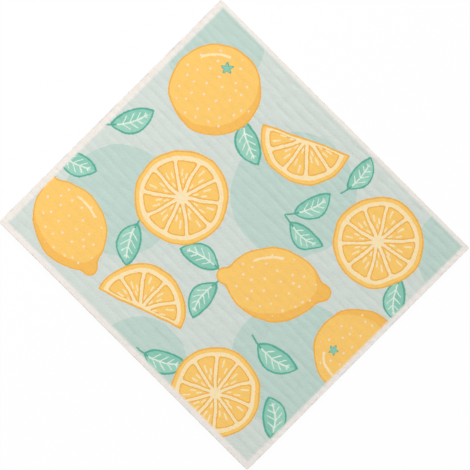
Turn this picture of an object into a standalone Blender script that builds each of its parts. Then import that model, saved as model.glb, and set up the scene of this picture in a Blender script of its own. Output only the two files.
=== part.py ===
"""Printed sponge cloth, dry: one sheet of ribbed cellulose sponge, cut out flat with a die.

Units are metres. +X runs along the ribs and the long side, +Y along the short side and +Z up.
The origin is under the middle of the sheet, in the plane of its smooth underside.
"""

import math

import bmesh
import bpy

# The sheet as the die cuts it
LENGTH = 0.200
WIDTH = 0.179
THICKNESS = 0.0022  # from the smooth underside to the crests of the ribs
CORNER_RADIUS = 0.0008

# The ribs of the upper side: a main groove at each pitch, and a shallower one halfway between
RIB_PITCH = 0.0050
GROOVE_DEPTH = 0.00022
FINE_GROOVE_DEPTH = 0.00011
GROOVE_SHARPNESS = 1.6

# The ribs wander off their straight lines, as the sheet shrank unevenly while it dried.
# Each wave has its length along X, its length along Y, its start and its height.
WANDER_WAVES = (
    (0.151, 0.097, 0.4, 0.00042),
    (0.083, -0.058, 1.9, 0.00030),
    (0.049, 0.041, 3.1, 0.00022),
)

# How finely the wet web is modelled
RIB_STEPS = (0.0, 0.125, 0.25, 0.5, 0.75, 0.875)  # shares of a pitch, from one main groove to the next
COLUMN_LENGTH = 0.0115
CORNER_STEPS = 5
WEB_MARGIN = 0.004  # web that the die trims off all round; the die passes it as far above and below

# The print's ground, pale mint on the cellulose's own off-white
GROUND_COLOUR = (0.63, 0.71, 0.65, 1.0)
ROUGHNESS = 0.92


def clear_scene():
    for thing in list(bpy.data.objects):
        bpy.data.objects.remove(thing, do_unlink=True)


def new_collection(name):
    collection = bpy.data.collections.new(name)
    bpy.context.scene.collection.children.link(collection)
    return collection


def new_object(name, bm, collection):
    mesh = bpy.data.meshes.new(name)
    bm.to_mesh(mesh)
    bm.free()
    made = bpy.data.objects.new(name, mesh)
    collection.objects.link(made)
    return made


def wander(x, y):
    """How far a rib runs off its straight line at this place."""
    return sum(
        height * math.sin(math.tau * (x / along + y / across) + start)
        for along, across, start, height in WANDER_WAVES
    )


def groove_drop(share):
    """How far the surface lies below the crests, at this share of the way between main grooves."""
    swing = math.cos(math.tau * share)
    depth = GROOVE_DEPTH if swing > 0 else FINE_GROOVE_DEPTH
    return depth * abs(swing) ** GROOVE_SHARPNESS


def ribbed_web():
    """The web of sponge before it is cut: ribbed above, flat below, and larger than the sheet.

    It has as many ribs on either side of the middle, so that a main groove runs there at any width.
    """
    columns = math.ceil((LENGTH + 2 * WEB_MARGIN) / COLUMN_LENGTH)
    ribs = 2 * math.ceil((WIDTH / 2 + WEB_MARGIN) / RIB_PITCH)
    rows = ribs * len(RIB_STEPS)
    bm = bmesh.new()
    bmesh.ops.create_grid(bm, x_segments=columns, y_segments=rows, size=0.5)
    for vertex in bm.verts:
        row = round((vertex.co.y + 0.5) * rows)
        rib, step = divmod(row, len(RIB_STEPS))
        share = RIB_STEPS[step]
        x = vertex.co.x * columns * COLUMN_LENGTH
        straight_y = (rib + share - ribs / 2) * RIB_PITCH
        vertex.co = (x, straight_y + wander(x, straight_y), THICKNESS - groove_drop(share))
    rim = [edge for edge in bm.edges if edge.is_boundary]
    lowered = bmesh.ops.extrude_edge_only(bm, edges=rim)["geom"]
    for vertex in [item for item in lowered if isinstance(item, bmesh.types.BMVert)]:
        vertex.co.z = 0.0
    bottom_rim = [item for item in lowered if isinstance(item, bmesh.types.BMEdge)]
    bmesh.ops.holes_fill(bm, edges=[edge for edge in bottom_rim if edge.is_boundary], sides=0)
    bmesh.ops.recalc_face_normals(bm, faces=bm.faces)
    return bm


def cutting_die():
    """The inside of the die: the sheet's outline with small round corners, taller than the web."""
    bm = bmesh.new()
    bmesh.ops.create_cube(bm, size=1.0)
    height = THICKNESS + 2 * WEB_MARGIN
    for vertex in bm.verts:
        vertex.co.x *= LENGTH
        vertex.co.y *= WIDTH
        vertex.co.z = vertex.co.z * height + THICKNESS / 2
    upright = [edge for edge in bm.edges if abs(edge.verts[0].co.z - edge.verts[1].co.z) > height / 2]
    bmesh.ops.bevel(bm, geom=upright, offset=CORNER_RADIUS, segments=CORNER_STEPS, profile=0.5, affect="EDGES")
    bmesh.ops.recalc_face_normals(bm, faces=bm.faces)
    return bm


def printed_cellulose():
    material = bpy.data.materials.new("printed_cellulose_sponge")
    material.use_nodes = True
    shader = material.node_tree.nodes["Principled BSDF"]
    shader.inputs["Base Color"].default_value = GROUND_COLOUR
    shader.inputs["Roughness"].default_value = ROUGHNESS
    shader.inputs["Metallic"].default_value = 0.0
    return material


def build():
    clear_scene()
    product = new_collection("sponge_cloth")
    tools = new_collection("cutters")

    die = new_object("cutting_die", cutting_die(), tools)
    die.hide_render = True
    die.display_type = "WIRE"

    cloth = new_object("cloth_sheet", ribbed_web(), product)
    cloth.data.materials.append(printed_cellulose())
    cloth.data.shade_smooth()
    cloth.data.set_sharp_from_angle(angle=math.radians(35))
    cut = cloth.modifiers.new("cut_to_outline", "BOOLEAN")
    cut.operation = "INTERSECT"
    cut.object = die


build()
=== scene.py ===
"""The looks of a printed sponge cloth: one flat sheet of ribbed cellulose sponge with a citrus print.

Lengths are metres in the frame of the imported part, +X along the ribs and +Z up. The print is drawn
in millimetres, because its sizes are a designer's.
"""

import math

import bpy
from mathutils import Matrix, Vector, noise


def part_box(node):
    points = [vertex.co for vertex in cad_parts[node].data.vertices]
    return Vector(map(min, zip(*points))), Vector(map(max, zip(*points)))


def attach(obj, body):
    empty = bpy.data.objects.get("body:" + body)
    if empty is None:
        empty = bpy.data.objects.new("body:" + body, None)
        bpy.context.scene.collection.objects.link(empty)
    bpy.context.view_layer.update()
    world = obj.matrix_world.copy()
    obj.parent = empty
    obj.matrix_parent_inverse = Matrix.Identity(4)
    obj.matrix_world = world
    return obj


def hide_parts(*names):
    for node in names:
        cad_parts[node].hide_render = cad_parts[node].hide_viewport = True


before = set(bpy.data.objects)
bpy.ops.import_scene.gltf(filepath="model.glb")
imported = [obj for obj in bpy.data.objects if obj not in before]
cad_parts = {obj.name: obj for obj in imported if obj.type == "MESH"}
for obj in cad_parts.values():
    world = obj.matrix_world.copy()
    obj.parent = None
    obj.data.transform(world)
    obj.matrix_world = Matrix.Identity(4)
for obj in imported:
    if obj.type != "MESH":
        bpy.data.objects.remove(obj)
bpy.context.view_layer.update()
bpy.ops.object.select_all(action="DESELECT")


# The sheet is a web of cellulose sponge with short cotton fibres in it. It is cast on a ribbed
# belt, dried and stamped out with a die, which leaves straight walls and presses their upper rim
# a little round. It lies flat, ribs and print up, with the size and the run of ribs of the solid.
sheet_low, sheet_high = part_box("cloth_sheet")
LENGTH = sheet_high.x - sheet_low.x
WIDTH = sheet_high.y - sheet_low.y
THICKNESS = sheet_high.z - sheet_low.z
CORNER_RADIUS = 0.0008

RIB_PITCH = 0.0050
MAIN_GROOVE = (0.00022, 0.00130)  # depth below the crests, and half its width
FINE_GROOVE = (0.00005, 0.00065)  # the same of the groove halfway between
WANDER_WAVES = (  # length along X, length along Y, start and height of each wave of the ribs
    (0.151, 0.097, 0.4, 0.00042),
    (0.083, -0.058, 1.9, 0.00030),
    (0.049, 0.041, 3.1, 0.00022),
)
RIB_JITTER = (0.00045, 0.0090, 0.0045, 5.7)  # how far, its size along and across the ribs, and its seed
UNEVEN = (1.1, 0.0075, 0.0045, 3.1)  # the same of how much deeper or shallower a groove is
SWELL = (0.00030, 0.0085, 0.0042, 8.4)  # the same of how far the surface rises and falls
DIMPLE_SPACING = 0.0021
DIMPLE_DEPTH = 0.00008
DIMPLE_RADIUS = (0.30, 0.25)  # as a share of the spacing, and what its cell's draw adds to it
DIMPLE_LEAST = 0.62  # a cell has sunk where its draw, which is from -1 to 1, is more than this
DIMPLE_ROUND = 0.8  # 1 for a cone, and less for a rounder hollow
DIMPLE_HOLLOW = 0.25  # how hollow the sponge is in the middle of a dimple
DRAW_SPREAD = 9.7  # spreads the cells out, so that each has a draw of its own
PRESSED_REACH = 0.0045  # how far in from the wall the grooves are pressed shallower
PRESSED_DEPTH = 0.5  # their depth at the wall, as a share of their depth further in
FRONT_DEPTH = 0.5  # depth of the grooves at the front, as a share of their depth at the back

# How finely the web is modelled, with its rows of points closer together in the grooves
ROW_SHARES = (0.0, 0.05, 0.10, 0.17, 0.30, 0.42, 0.50, 0.58, 0.70, 0.83, 0.90, 0.95)
COLUMN_LENGTH = 0.00112
MERGE_DISTANCE = 0.00006

WEB_MARGIN = 0.004  # web that the die trims off all round
RIM = 0.0004  # how far in from the wall the pressed rim begins
WALL_RINGS = (  # out from the start of the rim, and height, both as shares
    (0.45, 0.955),
    (0.80, 0.86),
    (1.00, 0.70),
    (1.00, 0.45),
    (1.00, 0.22),
    (0.80, 0.05),
    (0.45, 0.00),
)
TEAR_SIZE = 0.0010
TEAR_DEPTH = 0.00020
TEAR_TOP = 0.9  # share of the height above which the wall is pressed and not torn
TEAR_HOLLOW = (0.25, 1.3)  # how hollow the wall is where it is whole, and what tearing adds to it, which deepens the painted shade in its pores
BACK_CELL = 0.012


def wander(x, y):
    """How far a rib runs off its straight line at this place."""
    return sum(
        height * math.sin(math.tau * (x / along + y / across) + start)
        for along, across, start, height in WANDER_WAVES
    )


def unsteady(x, y, amount, along, across, seed):
    """Noise of up to about this amount either way, drawn out along the ribs."""
    return amount * noise.noise(Vector((x / along, y / across, seed)))


def groove(off, depth, half_width):
    """How deep a groove is at this distance from its middle."""
    return depth * math.exp(-((off / half_width) ** 2))


def dimple(x, y):
    """How deep the sponge has sunk over a large cell here, from 0 to 1. One cell in five has sunk."""
    near, cells = noise.voronoi(Vector((x / DIMPLE_SPACING, y / DIMPLE_SPACING, 0.0)))
    draw = noise.cell(cells[0] * DRAW_SPREAD)
    if draw <= DIMPLE_LEAST:
        return 0.0
    radius = DIMPLE_RADIUS[0] + DIMPLE_RADIUS[1] * draw
    return max(0.0, 1.0 - near[0] / radius) ** DIMPLE_ROUND


def sponge_top(x, y, share):
    """The height of the ribbed side here, and how hollow the sponge is, from 0 to 1."""
    inward = min(LENGTH / 2 - abs(x), WIDTH / 2 - abs(y)) / PRESSED_REACH
    strength = 1.0 + unsteady(x, y, *UNEVEN)
    strength *= PRESSED_DEPTH + (1.0 - PRESSED_DEPTH) * max(0.0, min(inward, 1.0))
    strength *= 1.0 - (1.0 - FRONT_DEPTH) * (0.5 - y / WIDTH)
    main = strength * groove(min(share, 1.0 - share) * RIB_PITCH, *MAIN_GROOVE)
    fine = strength * groove(abs(share - 0.5) * RIB_PITCH, *FINE_GROOVE)
    swell = (SWELL[0] + unsteady(x, y, *SWELL)) / 2
    sunk = dimple(x, y)
    return THICKNESS - main - fine - swell - DIMPLE_DEPTH * sunk, DIMPLE_HOLLOW * sunk


columns = 2 * math.ceil((LENGTH / 2 + WEB_MARGIN) / COLUMN_LENGTH)
ribs = 2 * math.ceil((WIDTH / 2 + WEB_MARGIN) / RIB_PITCH)
rows = ribs * len(ROW_SHARES)
bpy.ops.mesh.primitive_grid_add(x_subdivisions=columns, y_subdivisions=rows, size=1.0)
cloth = bpy.context.object
cloth.name = "sponge_sheet"
web = cloth.data
# How hollow the sponge is at each point: the material widens its pores there and darkens them with
# painted shade.
hollows = web.attributes.new("hollow", "FLOAT", "POINT")
for point, hollow in zip(web.vertices, hollows.data):
    rib, step = divmod(round((point.co.y + 0.5) * rows), len(ROW_SHARES))
    share = ROW_SHARES[step]
    x = point.co.x * columns * COLUMN_LENGTH
    y = (rib + share - ribs / 2) * RIB_PITCH
    y += wander(x, y) + unsteady(x, y, *RIB_JITTER)
    z, hollow.value = sponge_top(x, y, share)
    point.co = (x, y, z)

# The highest crest is as high as the solid's.
lift = THICKNESS - max(point.co.z for point in web.vertices)
for point in web.vertices:
    point.co.z += lift

# The die takes the web off all round, as far in as the rim begins.
bpy.ops.object.mode_set(mode="EDIT")
for way in ((1, 0, 0), (-1, 0, 0), (0, 1, 0), (0, -1, 0)):
    inner_half = (LENGTH if way[0] else WIDTH) / 2 - RIM
    bpy.ops.mesh.select_all(action="SELECT")
    bpy.ops.mesh.bisect(plane_co=Vector(way) * inner_half, plane_no=way, clear_outer=True, threshold=1e-7)
bpy.ops.mesh.select_all(action="SELECT")
bpy.ops.mesh.remove_doubles(threshold=MERGE_DISTANCE)


def core(x, y):
    """The nearest place within the rectangle of the four corner centres."""
    return Vector((
        max(-LENGTH / 2 + CORNER_RADIUS, min(x, LENGTH / 2 - CORNER_RADIUS)),
        max(-WIDTH / 2 + CORNER_RADIUS, min(y, WIDTH / 2 - CORNER_RADIUS)),
    ))


def outset(x, y):
    """How far out from that rectangle this place lies."""
    return (Vector((x, y)) - core(x, y)).length


def on_outline(x, y, out):
    """The same place round the sheet, on the outline that lies this far out from the rectangle."""
    middle = core(x, y)
    return middle + (Vector((x, y)) - middle).normalized() * out


# The cut wall goes down from the rim ring by ring, torn a little where it runs through open cells.
bpy.ops.mesh.select_mode(type="EDGE")
bpy.ops.mesh.select_all(action="SELECT")
bpy.ops.mesh.region_to_loop()
bpy.ops.object.mode_set(mode="OBJECT")
for point in web.vertices:
    if point.select:
        point.co.xy = on_outline(point.co.x, point.co.y, CORNER_RADIUS - RIM)
for outward, height in WALL_RINGS:
    bpy.ops.object.mode_set(mode="EDIT")
    bpy.ops.mesh.extrude_edges_indiv()
    bpy.ops.object.mode_set(mode="OBJECT")
    for point, hollow in zip(web.vertices, web.attributes["hollow"].data):
        if point.select:
            x, y = point.co.xy
            z = height * THICKNESS
            torn = max(0.0, noise.noise(Vector((x, y, z)) / TEAR_SIZE)) if 0 < height < TEAR_TOP else 0.0
            point.co.xy = on_outline(x, y, CORNER_RADIUS - RIM + RIM * outward - TEAR_DEPTH * torn)
            point.co.z = z
            hollow.value = min(1.0, TEAR_HOLLOW[0] + TEAR_HOLLOW[1] * torn)

# The back is smooth. One face closes it, and cuts across it leave it in even cells.
bpy.ops.object.mode_set(mode="EDIT")
bpy.ops.mesh.edge_face_add()
bpy.ops.mesh.hide(unselected=True)
for axis, reach in ((0, LENGTH / 2), (1, WIDTH / 2)):
    for step in range(-int(reach / BACK_CELL), int(reach / BACK_CELL) + 1):
        middle = [0.0, 0.0, 0.0]
        middle[axis] = step * BACK_CELL
        normal = [0.0, 0.0, 0.0]
        normal[axis] = 1.0
        bpy.ops.mesh.select_all(action="SELECT")
        bpy.ops.mesh.bisect(plane_co=middle, plane_no=normal, threshold=1e-6)
bpy.ops.mesh.reveal(select=False)
bpy.ops.mesh.select_all(action="SELECT")
bpy.ops.mesh.normals_make_consistent(inside=False)

# Extruding lists the wall's faces in another order each time, so all faces are sorted by how far
# they lie from one place. It is off to a side, because from the middle many are equally far.
SORT_PLACE = (0.31, 0.17, 0.05)
bpy.context.scene.cursor.location = SORT_PLACE
bpy.ops.mesh.sort_elements(type="CURSOR_DISTANCE", elements={"FACE"})
bpy.ops.object.mode_set(mode="OBJECT")
web.shade_smooth()

# The sheet is laid out for its colours: the ribbed side large, the back small below it, and the
# four walls unrolled in strips beside the back.
FACE_SCALE = 4.49  # share of the layout that a metre takes
BACK_SCALE = 0.92
WALL_SCALE = (3.90, 9.5)  # along the wall, and down it
LAYOUT_EDGE = 0.008
WALL_START = 0.212
STRIP_PITCH = 0.042
layout = web.uv_layers.new(name="OFBake")
for face in web.polygons:
    middle = face.center
    walled = outset(middle.x, middle.y) > CORNER_RADIUS - RIM
    endwise = abs(middle.x) - LENGTH / 2 > abs(middle.y) - WIDTH / 2
    side = (0 if middle.x > 0 else 1) if endwise else (2 if middle.y > 0 else 3)
    for corner in face.loop_indices:
        x, y, z = web.vertices[web.loops[corner].vertex_index].co
        if walled:
            along = (y, -y, -x, x)[side]
            out = outset(x, y) - (CORNER_RADIUS - RIM)
            down = THICKNESS - z + (out if z > THICKNESS / 2 else 2 * RIM - out)
            u = WALL_START + (along + LENGTH / 2) * WALL_SCALE[0]
            v = LAYOUT_EDGE + (side + 1) * STRIP_PITCH - down * WALL_SCALE[1]
        elif middle.z > THICKNESS / 2:
            u = LAYOUT_EDGE + (x + LENGTH / 2) * FACE_SCALE
            v = 1 - LAYOUT_EDGE - (WIDTH / 2 - y) * FACE_SCALE
        else:
            u = LAYOUT_EDGE + (LENGTH / 2 - x) * BACK_SCALE
            v = LAYOUT_EDGE + (y + WIDTH / 2) * BACK_SCALE
        layout.data[corner].uv = (u, v)


# Cellulose sponge, off-white and quite matt: a felt of cellulose round open pores, with cotton
# fibres lying in it. Felt, pores and fibres are fine relief, drawn a little coarser than they are,
# to show at a step away. The pores are darkened with painted shade. Sizes are in millimetres.
MILLIMETRES = 1000.0
CELLULOSE = "#f1ebe4"
# The colour of the painted shade in the pores
PORE_SHADE = "#cdc4b8"
FELT_SIZE = 0.9
FELT_HEIGHT = 0.13
PORE_SPACING = 0.85
PORE_RADIUS = (0.08, 0.30)  # where it is open all through, and where it ends
PORE_WARP = 0.75
PORE_GAPE = 0.28  # how much wider it is where the sheet is cut through or has sunk
PORE_SHADOW = (0.35, 0.5)  # share of the painted shade in a pore, and what hollowness adds to it
PORE_SINK = 1.5  # how deep a pore in full shade is, as a share of the felt's height
FIBRE_SPACING = 2.3
FIBRE_WIDTH = 0.035  # how far the noise is off its middle at the side of a fibre
FIBRE_KINK = 0.7
FIBRE_PATCH = 6.0  # size of the patches that fibres lie in
PATCH_EDGE = (0.50, 0.56)  # the noise where they begin to show, and where they show in full
FIBRE_RISE = 0.25  # height of a fibre, as a share of the felt's

sponge = bpy.data.materials.new("printed_cellulose_sponge")
sponge.use_nodes = True
tree = sponge.node_tree
tree.nodes.clear()


def colour(text):
    """A linear colour from an sRGB hex value."""
    parts = [int(text[i:i + 2], 16) / 255 for i in (1, 3, 5)]
    linear = [part / 12.92 if part <= 0.04045 else ((part + 0.055) / 1.055) ** 2.4 for part in parts]
    return (*linear, 1.0)


def add(kind, *values, **named):
    """Adds a node to the tree. Values feed its sockets in order, a name with a capital feeds the
    socket of that name, and other names are its settings. Gives its first output that is in use."""
    made = tree.nodes.new("ShaderNode" + kind)
    for name, value in named.items():
        if name[0].islower():
            setattr(made, name, value)
    sockets = [socket for socket in made.inputs if socket.enabled]
    fed = list(zip(sockets, values))
    fed += [(made.inputs[name], value) for name, value in named.items() if name[0].isupper()]
    for socket, value in fed:
        if isinstance(value, bpy.types.NodeSocket):
            tree.links.new(value, socket)
        else:
            socket.default_value = value
    return next((socket for socket in made.outputs if socket.enabled), None)


position = add("TexCoord").node.outputs["Object"]
place = add("VectorMath", position, operation="SCALE", Scale=MILLIMETRES)
hollowness = add("Attribute", attribute_name="hollow").node.outputs["Fac"]
felt = add("TexNoise", place, Scale=1 / FELT_SIZE, Detail=4.0, Roughness=0.6)
warp = add("VectorMath", felt.node.outputs["Color"], operation="SCALE", Scale=PORE_WARP)
pore = add("TexVoronoi", add("VectorMath", place, warp, operation="ADD"), Scale=1 / PORE_SPACING)
pore = add("Math", pore, PORE_SPACING, operation="MULTIPLY")
pore = add("Math", hollowness, -PORE_GAPE, pore, operation="MULTIPLY_ADD")
pore = add("MapRange", pore, *PORE_RADIUS, 1.0, 0.0, interpolation_type="SMOOTHSTEP")
fibre = add("TexNoise", place, Scale=1 / FIBRE_SPACING, Detail=0.0, Distortion=FIBRE_KINK)
fibre = add("Math", fibre, 0.5, operation="SUBTRACT")
fibre = add("Math", fibre, operation="ABSOLUTE")
fibre = add("MapRange", fibre, 0.0, FIBRE_WIDTH, 1.0, 0.0, interpolation_type="SMOOTHSTEP")
patch = add("TexNoise", place, Scale=1 / FIBRE_PATCH, Detail=2.0)
patch = add("MapRange", patch, *PATCH_EDGE, 0.0, 1.0, interpolation_type="SMOOTHSTEP")
fibre = add("Math", fibre, patch, operation="MULTIPLY")
# Painted shade in the pores, deeper where the sponge is hollow
shadow = add("Math", hollowness, PORE_SHADOW[1], PORE_SHADOW[0], operation="MULTIPLY_ADD")
shadow = add("Math", pore, shadow, operation="MULTIPLY")
bare = add("Mix", shadow, colour(CELLULOSE), colour(PORE_SHADE), data_type="RGBA")

# The print is water-based pigment, pulled over the crests flat by flat: a pale mint ground, large
# discs a shade deeper, leaves, then fruit. Its drawing is by hand, so no line is quite true, and
# each edge wicks out a little along the pores.
HAND_WOBBLE = (17.0, 1.5)  # size of a wobble of the hand, and how far it strays
WICKING = (1.1, 0.35)  # the same of the ink's edge
PRINT_EDGES = (-95.7, 96.8, -85.9, 87.1)  # left, right, front and back of the printed field
FIELD_FADE = 1.0  # half the width over which the ink thins out to the border
INK_EDGE = 0.22  # half the width over which the edge of a flat fades
GROUND = "#d3dcd5"
DISC = "#bfd5cc"
DISCS = (  # x, y, radius
    (-86, 70, 29),
    (8, 40, 36),
    (-60, -32, 32),
    (76, -28, 36),
    (14, -90, 27),
    (98, 84, 26),
)
IN_PLANE = (1.0, 1.0, 0.0)
flat = add("VectorMath", place, IN_PLANE, operation="MULTIPLY")


def strayed(size, reach):
    """A push on the drawing, this way and that, by up to about this reach."""
    cloud = add("TexNoise", flat, Scale=1 / size, Detail=1.0).node.outputs["Color"]
    push = add("VectorMath", cloud, (0.5, 0.5, 0.5), operation="SUBTRACT")
    push = add("VectorMath", push, IN_PLANE, operation="MULTIPLY")
    return add("VectorMath", push, operation="SCALE", Scale=2 * reach)


wicked = add("VectorMath", flat, strayed(*WICKING), operation="ADD")
drawn = add("VectorMath", wicked, strayed(*HAND_WOBBLE), operation="ADD")


def band(distance, middle, half_width):
    """The distance to the edge of a line of this half width, which is below 0 within the line."""
    off = add("Math", distance, middle, operation="SUBTRACT")
    off = add("Math", off, operation="ABSOLUTE")
    return add("Math", off, half_width, operation="SUBTRACT")


def within(round_off, *outlines):
    """The distance to what lies within all these outlines, its corners rounded off by so much."""
    shared = outlines[0]
    for outline in outlines[1:]:
        shared = add("Math", shared, outline, round_off, operation="SMOOTH_MAX")
    return shared


def inked(design, ink, outline):
    """The design once a flat of this ink fills an outline, from the distance to it."""
    cover = add("MapRange", outline, -INK_EDGE, INK_EDGE, 1.0, 0.0, interpolation_type="SMOOTHSTEP")
    return add("Mix", cover, design, ink, data_type="RGBA")


def stamped(places):
    """The drawing's place as seen from the nearest of these stamps, each given by its x, y, turn
    and size. Where a stamp has a fifth number, the third coordinate carries it."""
    nearest, reach = None, None
    for x, y, turn, size, *own in places:
        third = -own[0] * size if own else 0.0
        seen = add(
            "Mapping", drawn, (x, y, third), (0, 0, math.radians(turn)), (size,) * 3,
            vector_type="TEXTURE",
        )
        away = add("VectorMath", drawn, (x, y, 0), operation="DISTANCE")
        if nearest is None:
            nearest, reach = seen, away
            continue
        closer = add("Math", away, reach, operation="LESS_THAN")
        nearest = add("Mix", closer, nearest, seen, data_type="VECTOR")
        reach = add("Math", away, reach, operation="MINIMUM")
    return nearest


discs = None
for x, y, radius in DISCS:
    disc = add("VectorMath", drawn, (x, y, 0), operation="DISTANCE")
    disc = add("Math", disc, radius, operation="SUBTRACT")
    discs = disc if discs is None else add("Math", discs, disc, operation="MINIMUM")
design = inked(colour(GROUND), colour(DISC), discs)

# Leaves: a pointed oval, bent a little, lighter on one half, with a stalk and outline of deeper
# green and a pale rib and veins.
LEAF_GREEN = "#8ccab5"
LEAF_LIGHT = "#9dd2bf"
LEAF_LINE = "#55ac95"
LEAF_VEIN = "#e6f1e4"
LEAF_LENGTH = 18.0
LEAF_WIDTH = 9.4
LEAF_BEND = 0.022
LEAF_OUTLINE = (-0.30, 0.36)  # middle and half width, as for every line below
STALK = (-9.5, 2.9, 0.38)  # middle, half length, half width
RIB = (-0.5, 6.5, 0.28)
VEIN_SPACING = 3.1
VEIN_HALF_WIDTH = 0.26
VEIN_GAP = 1.7  # from the ends of the veins to the leaf's edge
LINE_ROUND = 0.3  # how far the ends of the leaf's lines are rounded off
LEAVES = (  # x, y, turn, size
    (-86, 5, 62, 1.5),
    (-31, 42, -26, 1.5),
    (29.2, 26.8, 8, 1.35),
    (21.5, 43.5, 72, 1.35),
    (28, 75.5, 100, 1.25),
    (91, 38, -50, 1.35),
    (-5, -21.2, 196, 1.4),
    (12, -39, -78, 1.4),
    (67, -34, 10, 1.5),
    (-39, -46, -60, 1.4),
    (90, -57, 140, 1.4),
    (23, -80, 30, 1.4),
    (-92, -35, 15, 1.4),
)


def pointed_oval(x, y, length, width):
    """The distance to an oval with two points, the overlap of two circles."""
    radius = (length ** 2 + width ** 2) / (4 * width)
    arm = add("Math", y, operation="ABSOLUTE")
    arm = add("Math", arm, radius - width / 2, operation="ADD")
    arm = add("VectorMath", add("CombineXYZ", x, arm), operation="LENGTH")
    return add("Math", arm, radius, operation="SUBTRACT")


leaf_x = add("SeparateXYZ", stamped(LEAVES))
bend = add("Math", leaf_x, leaf_x, operation="MULTIPLY")
leaf_y = add("Math", bend, -LEAF_BEND, leaf_x.node.outputs["Y"], operation="MULTIPLY_ADD")
leaf = pointed_oval(leaf_x, leaf_y, LEAF_LENGTH, LEAF_WIDTH)
stalk = within(LINE_ROUND, band(leaf_y, 0.0, STALK[2]), band(leaf_x, *STALK[:2]))
leaf_rib = within(LINE_ROUND, band(leaf_y, 0.0, RIB[2]), band(leaf_x, *RIB[:2]))
vein = add("Math", leaf_x, add("Math", leaf_y, operation="ABSOLUTE"), operation="SUBTRACT")
vein = add("Math", vein, VEIN_SPACING, operation="PINGPONG")
vein = band(vein, VEIN_SPACING / 2, VEIN_HALF_WIDTH)
vein = within(LINE_ROUND, vein, add("Math", leaf, VEIN_GAP, operation="ADD"))
leaf_line = add("Math", band(leaf, *LEAF_OUTLINE), stalk, operation="MINIMUM")
design = inked(design, inked(colour(LEAF_GREEN), colour(LEAF_LIGHT), leaf_y), leaf)
design = inked(design, colour(LEAF_VEIN), add("Math", leaf_rib, vein, operation="MINIMUM"))
design = inked(design, colour(LEAF_LINE), leaf_line)

# Whole citrus fruit: oranges, which are round and show the star of their stalk, and lemons, an
# oval with a nub at each end. Each has a deeper side, a gleam, and the dots of its rind's glands.
FRUIT_YELLOW = "#fdcb6c"
FRUIT_DEEP = "#f8be5b"
FRUIT_LINE = "#f2b148"
FRUIT_PALE = "#fde6b6"
FRUIT_DOT = "#fbdfc0"
FRUIT_OUTLINE = (-0.4, 0.5)
DEEP_SIDE = (-0.17, 0.23, 0.0)  # slope that sets off the deeper side, which is towards +X and -Y
DOT_SPACING = 7.6
DOT_RADIUS = 0.75
DOT_GAP = 3.2  # from the dots to the fruit's edge
DOT_SCATTER = 0.55
DOT_ROUND = 1.0
GLEAM = (-6.4, 0.75)  # how far within the edge, and its half width
GLEAM_REACH = (-6.0, 8.5)  # its middle along the fruit, and half its length
GLEAM_ROUND = 0.8
ORANGE_RADIUS = 28.0
ORANGES = (
    (-66, 51, 25, 0.94),
    (97, 2, 140, 0.90),
)
STAR_PLACE = (3.0, 15.0, 0.0)
STAR_RADIUS = 1.5
STAR_POINTS = 5
STAR_POINT_LENGTH = 4.6  # by how much a point of it stands out
STAR_OUTLINE = (-0.2, 0.35)
LEMON_LENGTH = 62.0
LEMON_WIDTH = 45.0
NUB_RADIUS = 4.8
NUB_PLACE = 30.5  # from the lemon's middle to that of a nub
NUB_BLEND = 6.0  # how softly a nub runs out into the fruit
LEMONS = (
    (36, -4, 35, 0.94),
    (-70, -62, -20, 0.90),
)


def whole_fruit(design, outline, view):
    """The design once a fruit is printed on it, from its outline and the place as it sees it."""
    fruit_x = add("SeparateXYZ", view)
    below = add("Math", fruit_x.node.outputs["Y"], -1.0, operation="MULTIPLY")
    deep = add("VectorMath", view, DEEP_SIDE, operation="DOT_PRODUCT")
    deep = add("Math", deep, outline, operation="SUBTRACT")
    dot = add("TexVoronoi", view, voronoi_dimensions="2D", Scale=1 / DOT_SPACING, Randomness=DOT_SCATTER)
    dot = add("Math", dot, DOT_SPACING, -DOT_RADIUS, operation="MULTIPLY_ADD")
    dot = within(DOT_ROUND, dot, add("Math", outline, DOT_GAP, operation="ADD"))
    gleam = within(GLEAM_ROUND, band(outline, *GLEAM), band(fruit_x, *GLEAM_REACH), below)
    fruit = inked(colour(FRUIT_YELLOW), colour(FRUIT_DEEP), deep)
    fruit = inked(fruit, colour(FRUIT_DOT), dot)
    fruit = inked(fruit, colour(FRUIT_PALE), gleam)
    fruit = inked(fruit, colour(FRUIT_LINE), band(outline, *FRUIT_OUTLINE))
    return inked(design, fruit, outline)


orange_view = stamped(ORANGES)
orange = add("VectorMath", orange_view, operation="LENGTH")
orange = add("Math", orange, ORANGE_RADIUS, operation="SUBTRACT")
design = whole_fruit(design, orange, orange_view)

star_view = add("VectorMath", orange_view, STAR_PLACE, operation="SUBTRACT")
star_x = add("SeparateXYZ", star_view)
star_turn = add("Math", star_x.node.outputs["Y"], star_x, operation="ARCTAN2")
star_turn = add("Math", star_turn, STAR_POINTS / math.tau, operation="MULTIPLY")
to_point = add("Math", star_turn, 0.5, operation="PINGPONG")
star = add("VectorMath", star_view, operation="LENGTH")
star = add("Math", to_point, -STAR_POINT_LENGTH, star, operation="MULTIPLY_ADD")
star = add("Math", star, STAR_RADIUS, operation="SUBTRACT")
design = inked(design, colour(LEAF_GREEN), star)
design = inked(design, colour(LEAF_LINE), band(star, *STAR_OUTLINE))

lemon_view = stamped(LEMONS)
lemon_x = add("SeparateXYZ", lemon_view)
lemon_y = lemon_x.node.outputs["Y"]
nub = add("Math", add("Math", lemon_x, operation="ABSOLUTE"), NUB_PLACE, operation="SUBTRACT")
nub = add("VectorMath", add("CombineXYZ", nub, lemon_y), operation="LENGTH")
nub = add("Math", nub, NUB_RADIUS, operation="SUBTRACT")
lemon = pointed_oval(lemon_x, lemon_y, LEMON_LENGTH, LEMON_WIDTH)
lemon = add("Math", lemon, nub, NUB_BLEND, operation="SMOOTH_MIN")
design = whole_fruit(design, lemon, lemon_view)

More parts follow.
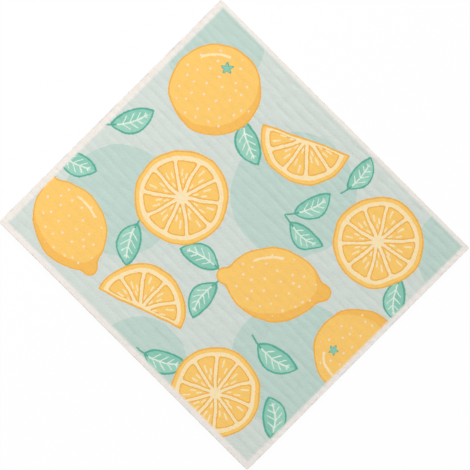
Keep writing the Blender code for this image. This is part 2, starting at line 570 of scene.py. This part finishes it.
# Citrus slices, whole and halved: rind, pale pith, and ten segments with pale strokes of juice.
# Each is drawn round its core, and a halved one is cut off straight along one side of it.
SLICE_RADIUS = 27.5
RIND_ROUND = 1.6
PITH_RADIUS = 24.6
PITH_ROUND = 1.0
PITH_GAP = 1.3  # from the pith to the edge of the rind where the slice is halved
FLESH_RADIUS = 22.2
FLESH_GAP = 2.2
CORE_RADIUS = 2.6
SEGMENTS = 10
MEMBRANE = 0.95  # half its thickness
SEGMENT_ROUND = 2.5
SEGMENT_OUTLINE = (-0.3, 0.32)
JUICE = (  # how far aside in a segment, as a share of its width, how far out, and its half length
    (0.15, 16.5, 1.9),
    (-0.17, 13.0, 1.5),
    (0.02, 8.6, 1.1),
)
JUICE_HALF_WIDTH = 0.5
JUICE_ROUND = 1.0
JUICE_SCATTER = 3.4  # length over which a stroke's place varies
WHOLE, HALF = 99.0, 0.0  # how far below its centre a slice is cut
SLICES = (
    (61, 55, 12, 0.95, WHOLE),
    (-36, -6, 0, 0.98, WHOLE),
    (56, -71, 25, 0.94, WHOLE),
    (-9, 68, 205, 0.95, HALF),
    (-8, -68, 20, 0.95, HALF),
)
slice_x = add("SeparateXYZ", stamped(SLICES))
slice_y = slice_x.node.outputs["Y"]
from_core = add("VectorMath", add("CombineXYZ", slice_x, slice_y), operation="LENGTH")
past_cut = add("Math", slice_y, slice_x.node.outputs["Z"], operation="ADD")
past_cut = add("Math", past_cut, -1.0, operation="MULTIPLY")
rind = within(RIND_ROUND, add("Math", from_core, SLICE_RADIUS, operation="SUBTRACT"), past_cut)
pith = within(
    PITH_ROUND,
    add("Math", from_core, PITH_RADIUS, operation="SUBTRACT"),
    add("Math", rind, PITH_GAP, operation="ADD"),
)
slice_turn = add("Math", slice_y, slice_x, operation="ARCTAN2")
slice_turn = add("Math", slice_turn, SEGMENTS / math.tau, operation="MULTIPLY")
across = add("Math", add("Math", slice_turn, operation="FRACT"), 0.5, operation="SUBTRACT")
segment_width = add("Math", from_core, math.tau / SEGMENTS, operation="MULTIPLY")
from_side = add("Math", 0.5, add("Math", across, operation="ABSOLUTE"), operation="SUBTRACT")
from_side = add("Math", from_side, segment_width, operation="MULTIPLY")
segment = within(
    SEGMENT_ROUND,
    add("Math", MEMBRANE, from_side, operation="SUBTRACT"),
    add("Math", from_core, FLESH_RADIUS, operation="SUBTRACT"),
    add("Math", CORE_RADIUS, from_core, operation="SUBTRACT"),
    add("Math", rind, FLESH_GAP, operation="ADD"),
)
number = add("Math", slice_turn, operation="FLOOR")
juice = None
for lean, out, half_length in JUICE:
    luck = add("TexWhiteNoise", W=add("Math", number, out, operation="ADD"), noise_dimensions="1D")
    stroke_out = add("Math", luck, JUICE_SCATTER, out - JUICE_SCATTER / 2, operation="MULTIPLY_ADD")
    beyond = band(add("Math", from_core, stroke_out, operation="SUBTRACT"), 0.0, half_length)
    beyond = add("Math", beyond, 0.0, operation="MAXIMUM")
    aside = add("Math", across, lean, operation="SUBTRACT")
    aside = add("Math", aside, segment_width, operation="MULTIPLY")
    stroke = add("VectorMath", add("CombineXYZ", aside, beyond), operation="LENGTH")
    stroke = add("Math", stroke, JUICE_HALF_WIDTH, operation="SUBTRACT")
    juice = stroke if juice is None else add("Math", juice, stroke, operation="MINIMUM")
cut_face = inked(colour(FRUIT_YELLOW), colour(FRUIT_LINE), band(rind, *FRUIT_OUTLINE))
cut_face = inked(cut_face, colour(FRUIT_PALE), pith)
cut_face = inked(cut_face, colour(FRUIT_YELLOW), segment)
cut_face = inked(cut_face, colour(FRUIT_LINE), band(segment, *SEGMENT_OUTLINE))
cut_face = inked(cut_face, colour(FRUIT_PALE), within(JUICE_ROUND, juice, segment))
design = inked(design, cut_face, rind)

# The finished sheet: print over bare sponge, short of the border and thinner in the pores. Ink
# closes the felt a little, so it is less matt than the bare border, and the thick ink of the fruit
# levels the ribs as well. Back and walls have none.
BARE_ROUGHNESS = 0.95
INK_ROUGHNESS = 0.86
PORE_BARE = 0.15  # how much less ink there is in a pore
LEVELLING = 0.6  # how far the fruit's ink levels what it lies on
FIELD_ROUND = 0.6  # how far the corners of the printed field are rounded off
MOTTLE_SIZE = 3.5
MOTTLE_RANGE = (0.3, 0.7)  # the noise where it is darkest, and where it is gone
MOTTLE = 0.03  # how much darker the darkest places are
STRAIGHT_UP = (0.5, 0.5, 1.0, 1.0)  # +Z as the colour that stands for it
wicked_x = add("SeparateXYZ", wicked)
left_edge, right_edge, front_edge, back_edge = PRINT_EDGES
field = within(
    FIELD_ROUND,
    band(wicked_x, (left_edge + right_edge) / 2, (right_edge - left_edge) / 2),
    band(wicked_x.node.outputs["Y"], (front_edge + back_edge) / 2, (back_edge - front_edge) / 2),
)
position_z = add("SeparateXYZ", position).node.outputs["Z"]
ink = add("Math", position_z, THICKNESS / 2, operation="GREATER_THAN")
ink = add("MapRange", field, -FIELD_FADE, FIELD_FADE, ink, 0.0, interpolation_type="SMOOTHSTEP")
thinner = add("Math", shadow, -PORE_BARE, 1.0, operation="MULTIPLY_ADD")
ink = add("Math", ink, thinner, operation="MULTIPLY")
mottle = add("TexNoise", place, Scale=1 / MOTTLE_SIZE, Detail=3.0, Roughness=0.55)
mottle = add("MapRange", mottle, *MOTTLE_RANGE, 1.0 - MOTTLE, 1.0)
face = add("Mix", ink, bare, design, data_type="RGBA")
face = add("Mix", 1.0, face, mottle, data_type="RGBA", blend_type="MULTIPLY")
roughness = add("MapRange", ink, 0.0, 1.0, BARE_ROUGHNESS, INK_ROUGHNESS)
relief = add("Math", shadow, -PORE_SINK, felt, operation="MULTIPLY_ADD")
relief = add("Math", fibre, FIBRE_RISE, relief, operation="MULTIPLY_ADD")
any_fruit = add("Math", add("Math", orange, lemon, operation="MINIMUM"), rind, operation="MINIMUM")
thick = add("MapRange", any_fruit, -INK_EDGE, INK_EDGE, LEVELLING, 0.0, interpolation_type="SMOOTHSTEP")
thick = add("Math", thick, ink, operation="MULTIPLY")
levelled = add("NormalMap", thick, STRAIGHT_UP, space="OBJECT")
relief = add("Bump", Strength=1.0, Distance=FELT_HEIGHT / MILLIMETRES, Height=relief, Normal=levelled)
shader = add(
    "BsdfPrincipled", face, Roughness=roughness, Normal=relief,
    **{"Specular IOR Level": 0.25, "Sheen Weight": 0.08, "Sheen Roughness": 0.6},
)
add("OutputMaterial", shader)

cloth.data.materials.clear()
cloth.data.materials.append(sponge)
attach(cloth, "root")
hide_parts("cloth_sheet")


# A plain white table top under the sheet, which camera and mirrors see nearly as bright as the
# background. It still takes the sheet's shadow.
FLOOR_SIZE = 8.0
FLOOR_DROP = 0.0002  # how far it lies below the underside
FLOOR_GLOW = 0.95  # how much of it is seen at full white
TABLE_WHITE = "#f4f4f4"
FULL_WHITE = "#ffffff"
bpy.ops.mesh.primitive_plane_add(size=FLOOR_SIZE, location=(0, 0, -FLOOR_DROP))
floor = bpy.context.object
floor.name = "floor"
table_top = bpy.data.materials.new("white_table_top")
table_top.use_nodes = True
tree = table_top.node_tree
tree.nodes.clear()


def seen_rays():
    """1 for the rays by which the camera sees something, also in a mirror or through glass."""
    ray = add("LightPath").node
    seen = add("Math", ray.outputs["Is Camera Ray"], ray.outputs["Is Glossy Ray"], operation="MAXIMUM")
    return add("Math", seen, ray.outputs["Is Transmission Ray"], operation="MAXIMUM")


glow = add("Math", seen_rays(), FLOOR_GLOW, operation="MULTIPLY")
lit = add("BsdfDiffuse", colour(TABLE_WHITE))
white = add("Emission", colour(FULL_WHITE), 1.0)
add("OutputMaterial", add("MixShader", glow, lit, white))
floor.data.materials.append(table_top)

# Soft studio light: an even white room, a large lamp from beyond the back of the sheet, which
# brings out the ribs, and a nearer one at its left end, from which the light falls off.
ROOM_LIGHT = 0.45
LAMPS = {  # place, size and watts
    "back_lamp": (Vector((-1.2, 4.2, 3.2)), 2.2, 138.0),
    "left_lamp": (Vector((-0.70, -0.05, 0.60)), 0.5, 3.8),
}
world = bpy.data.worlds.new("studio")
bpy.context.scene.world = world
world.use_nodes = True
tree = world.node_tree
tree.nodes.clear()
brightness = add("MapRange", seen_rays(), 0.0, 1.0, ROOM_LIGHT, 1.0)
add("OutputWorld", add("Background", colour(FULL_WHITE), brightness))

for lamp_name, (lamp_place, size, watts) in LAMPS.items():
    bpy.ops.object.light_add(type="AREA", location=lamp_place)
    lamp = bpy.context.object
    lamp.name = lamp_name
    lamp.data.size = size
    lamp.data.energy = watts
    lamp.rotation_euler = (-lamp_place).to_track_quat("-Z", "Y").to_euler()

# The camera looks straight down with a long lens, turned by 45 degrees, so that the sheet stands on
# a corner. The photograph's pixels say how large the sheet is in it and where its centre lies.
PHOTO_SIDE = 470
PIXELS_PER_METRE = 1757.5
SHEET_CENTRE = (233.93, 234.73)
LENS = 150  # millimetres, as is the width of the sensor
SENSOR_WIDTH = 36

# How far right of the sheet's centre the middle of the picture lies, and how far below it
right = (PHOTO_SIDE / 2 - SHEET_CENTRE[0]) / PIXELS_PER_METRE
down = (PHOTO_SIDE / 2 - SHEET_CENTRE[1]) / PIXELS_PER_METRE
bpy.ops.object.camera_add(rotation=(0, 0, math.radians(45)))
camera = bpy.context.object
camera.name = "camera"
camera.data.lens = LENS
camera.data.sensor_width = SENSOR_WIDTH
above = PHOTO_SIDE / PIXELS_PER_METRE * LENS / SENSOR_WIDTH
camera.location = ((right + down) * math.sqrt(0.5), (right - down) * math.sqrt(0.5), THICKNESS + above)
bpy.context.scene.camera = camera
bpy.context.scene.view_settings.view_transform = "Standard"
